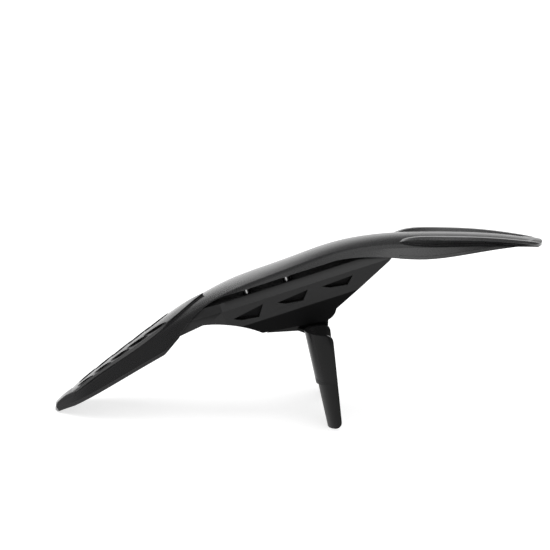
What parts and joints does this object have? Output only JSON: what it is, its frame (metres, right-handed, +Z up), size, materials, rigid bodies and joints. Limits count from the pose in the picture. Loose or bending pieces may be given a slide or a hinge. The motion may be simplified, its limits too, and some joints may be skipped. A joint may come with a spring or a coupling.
{
  "type": "bicycle mudguard",
  "caption": "Long arched front mudguard for a suspension fork, with a louvred tail, a vented carrier bracket and half-sleeve legs.",
  "frame": {"origin": "middle of the bounding box on the floor that the tail tip and both legs stand on", "axes": "+X forward along the blade, +Y to the rider's left, +Z up"},
  "size_m": [0.542, 0.178, 0.2042],
  "materials": {
    "shell_plastic": "satin",
    "carrier_plastic": "fine grained",
    "leg_plastic": "satin",
    "screw_steel": "plated"
  },
  "bodies": {
    "root": {"top_shell": "shell_plastic", "carrier": "carrier_plastic", "left_leg": "leg_plastic", "right_leg": "leg_plastic", "shell_screws": "screw_steel", "shell_spacers": "screw_steel", "leg_screws": "screw_steel"}
  },
  "joints": []
}
